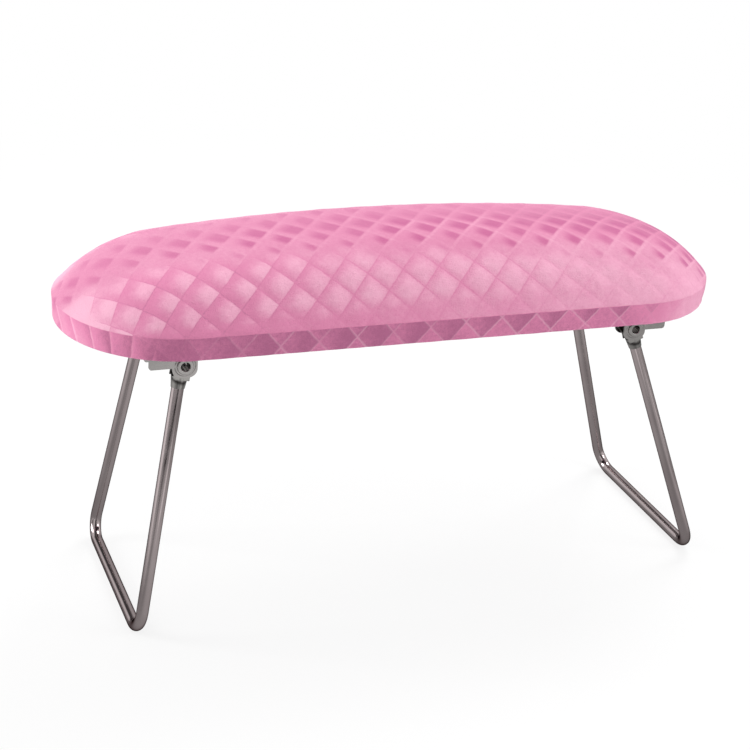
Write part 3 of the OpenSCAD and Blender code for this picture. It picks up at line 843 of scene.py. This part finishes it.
# Painted shade: a dark ring round the pivot, in the gap inside the bracket
pivot_shade = from_axis.span(0.0095, 0.0115) * from_axis.span(0.0115, 0.0135, 1.0, 0.35)
clasp_mat.surface(
    Base_Color=clasp_mat.mix(pivot_shade * 0.9, srgb(176, 173, 170), srgb(40, 37, 36)), Metallic=1.0,
    Roughness=from_axis.span(0.008, 0.016, 0.22, 0.12),
    Normal=clasp_mat.bump(clasp_mat.noise(p, 300.0, 3.0), 0.000008),
)
print("fold plate nodes:", len(clasp_mat.tree.nodes))

# %% Dress the CAD nodes, and bevel the stampings
finish = {"tube": tube_mat, "screws": steel, "clasp": clasp_mat}
dressed = []
for name, obj in nodes.items():
    if obj.hide_render or name == "base_board":
        continue
    dress(obj, finish.get(name.split("_")[-1], plate_mat).mat)
    dressed.append(name)
    if name.endswith(("bracket", "clasp")):
        bevel = obj.modifiers.new("edge", "BEVEL")
        bevel.width, bevel.segments, bevel.limit_method = 0.00018, 2, "ANGLE"
        bevel.angle_limit = math.radians(50)
print("metal nodes:", len(dressed))

# %% [markdown]
# ## The photographer's table
# The photograph is a catalogue cut-out on white. The object stands on a pale sweep, and what
# the camera sees behind it is plain white. A world colour that depends on the kind of ray gives
# the camera that white, the cloth a soft dome of light, and the polished metal a studio with
# bright and dark strips. The camera looks down, so upright tubes mirror the table: for glossy
# rays the sweep shows the cards that stood round it, which draw the long streaks on the tubes.
# To the camera it is mostly plain white, with a trace of the shadows under the feet, and from
# below it is clear, so that the underside of the pad can be looked at.

# %% Floor
half_floor = 6
floor = bpy.data.meshes.new("floor")
corners = [(-1, -1), (1, -1), (1, 1), (-1, 1)]
floor.from_pydata([(x * half_floor, y * half_floor, 0) for x, y in corners], [], [(0, 1, 2, 3)])
floor = bpy.data.objects.new("floor", floor)
bpy.context.scene.collection.objects.link(floor)
sweep = Mat("sweep")
sweep.surface(Base_Color=(0.92, 0.92, 0.92, 1), Roughness=0.9, Specular_IOR_Level=0.1)
rays = sweep.node("ShaderNodeLightPath")
spot = sweep.node("ShaderNodeSeparateXYZ", {0: sweep.place()})
px, py = spot[0], spot[1]
print("floor:", 2 * half_floor, "m wide")


# %% Floor: what mirror rays see on it
def card(x, y, inner, outer, wide=1.0):
    """A soft-edged card round a place on the floor."""
    apart = ((px - x) / wide) ** 2.0 + (py - y) ** 2.0
    return apart.math("SQRT").span(inner, outer, 1.0, 0.0)


soft = (px * 14.0 - py * 5.5 + 1.7).math("SINE") * 0.13 + 0.45
pale = card(0.0, -0.33, 0.07, 0.13) * 0.5 + card(0.62, -0.56, 0.16, 0.26) * 0.4
pale = pale + px.span(-0.42, -0.62) * py.span(-0.35, -0.1) * 0.6
cards = (soft + pale) * (1.0 - card(-0.7, -1.1, 0.34, 0.44, 2.0) * 0.97)
mirrored = sweep.node("ShaderNodeEmission", {"Color": cards, "Strength": 1.0})[0]
print("floor nodes with its cards:", len(sweep.tree.nodes))


# %% Floor: one look for each kind of ray
def either(factor, a, b):
    return sweep.node("ShaderNodeMixShader", {0: factor, 1: a, 2: b})[0]


far_out = (px * px + py * py).math("SQRT").span(0.35, 0.9, 0.8, 1.0)
glow = sweep.node("ShaderNodeEmission", {"Color": (1, 1, 1, 1), "Strength": 1.0})[0]
look = either(far_out * rays["Is Camera Ray"], sweep.shader, glow)
look = either(rays["Is Glossy Ray"], look, mirrored)
from_below = sweep.node("ShaderNodeNewGeometry")["Backfacing"] * rays["Is Camera Ray"]
look = either(from_below, look, sweep.node("ShaderNodeBsdfTransparent")[0])
sweep.plug(sweep.output.inputs[0], look)
dress(floor, sweep.mat)
print("floor nodes:", len(sweep.tree.nodes))

# %% World: white for the camera, strips for metal, a soft dome for the rest
world = bpy.data.worlds.new("studio")
bpy.context.scene.world = world
world.use_nodes = True
world.node_tree.nodes.clear()
sky = Nodes(world.node_tree)
way = sky.node("ShaderNodeSeparateXYZ", {0: sky.node("ShaderNodeTexCoord")["Generated"]})
dome = sky.node("ShaderNodeValToRGB", {0: way[2]},
                stops=[(0.0, 0.46), (0.35, 0.52), (0.7, 0.72), (1.0, 1.0)])[0]
sideways = sky.node("ShaderNodeMapRange", {0: way[0], 1: -1.0, 2: 1.0})[0]
strips = sky.node("ShaderNodeValToRGB", {0: sideways},
                  stops=[(0.0, 0.2), (0.26, 1.0), (0.33, 0.06), (0.55, 0.1), (0.66, 0.6),
                         (0.84, 0.75), (1.0, 1.0)])[0]
rays = sky.node("ShaderNodeLightPath")
shown = sky.mix(rays["Is Glossy Ray"], dome, strips)
shown = sky.mix(rays["Is Camera Ray"], shown, (1, 1, 1, 1))
sky.node("ShaderNodeOutputWorld", {0: sky.node("ShaderNodeBackground", {0: shown})[0]})
print("world nodes:", len(world.node_tree.nodes))

# %% [markdown]
# ## Lamps
# The velvet is lit by one large soft lamp from behind and above on the right, and by two weaker
# ones from the left and the front. Spots would be easier to place, but a pile cloth needs wide
# lamps, or each diamond gets a hard edge. Power is in watts and sizes are in metres.

# %% Lamps
lamp_aim = Vector((0, 0, 0.17))
lamps = {
    "key": ((0.8, 0.75, 1.5), (0.7, 0.7), 12),
    "left": ((-1.5, 0.5, 0.6), (0.5, 0.9), 14),
    "right": ((1.1, -0.9, 0.9), (0.6, 0.6), 5),
}
for name, (place, size, power) in lamps.items():
    light = bpy.data.lights.new(name, "AREA")
    light.shape, light.size, light.size_y = "RECTANGLE", size[0], size[1]
    light.energy = power
    lamp = bpy.data.objects.new(name, light)
    lamp.location = place
    lamp.rotation_euler = (lamp_aim - Vector(place)).to_track_quat("-Z", "Y").to_euler()
    bpy.context.scene.collection.objects.link(lamp)
print("lamps:", len(lamps))

# %% [markdown]
# ## Camera
# The camera was found by fitting a pinhole to the photograph: the outline of the pad, the edge
# of its board and the sides of all four tubes. It stands about a metre away, 25 degrees above
# the table, turned 22 degrees to the left of the pad's front, and the photograph is rolled by
# about 4 degrees. It is given as a matrix, so that nothing of the fit is rounded away.

# %% Camera
cam = bpy.data.objects.new("camera", bpy.data.cameras.new("camera"))
turned = Matrix(((0.933062, 0.101923, -0.344974),
                 (-0.355198, 0.41257, -0.838821),
                 (0.056831, 0.905206, 0.421156)))
cam.matrix_world = Matrix.Translation((-0.35545, -0.84251, 0.54288)) @ turned.to_4x4()
cam.data.sensor_width, cam.data.lens = 36.0, 80.633
cam.data.clip_end = 50
bpy.context.scene.collection.objects.link(cam)
bpy.context.scene.camera = cam
bpy.context.scene.view_settings.view_transform = "Standard"
print("camera at", round(cam.matrix_world.translation.length, 2), "m")
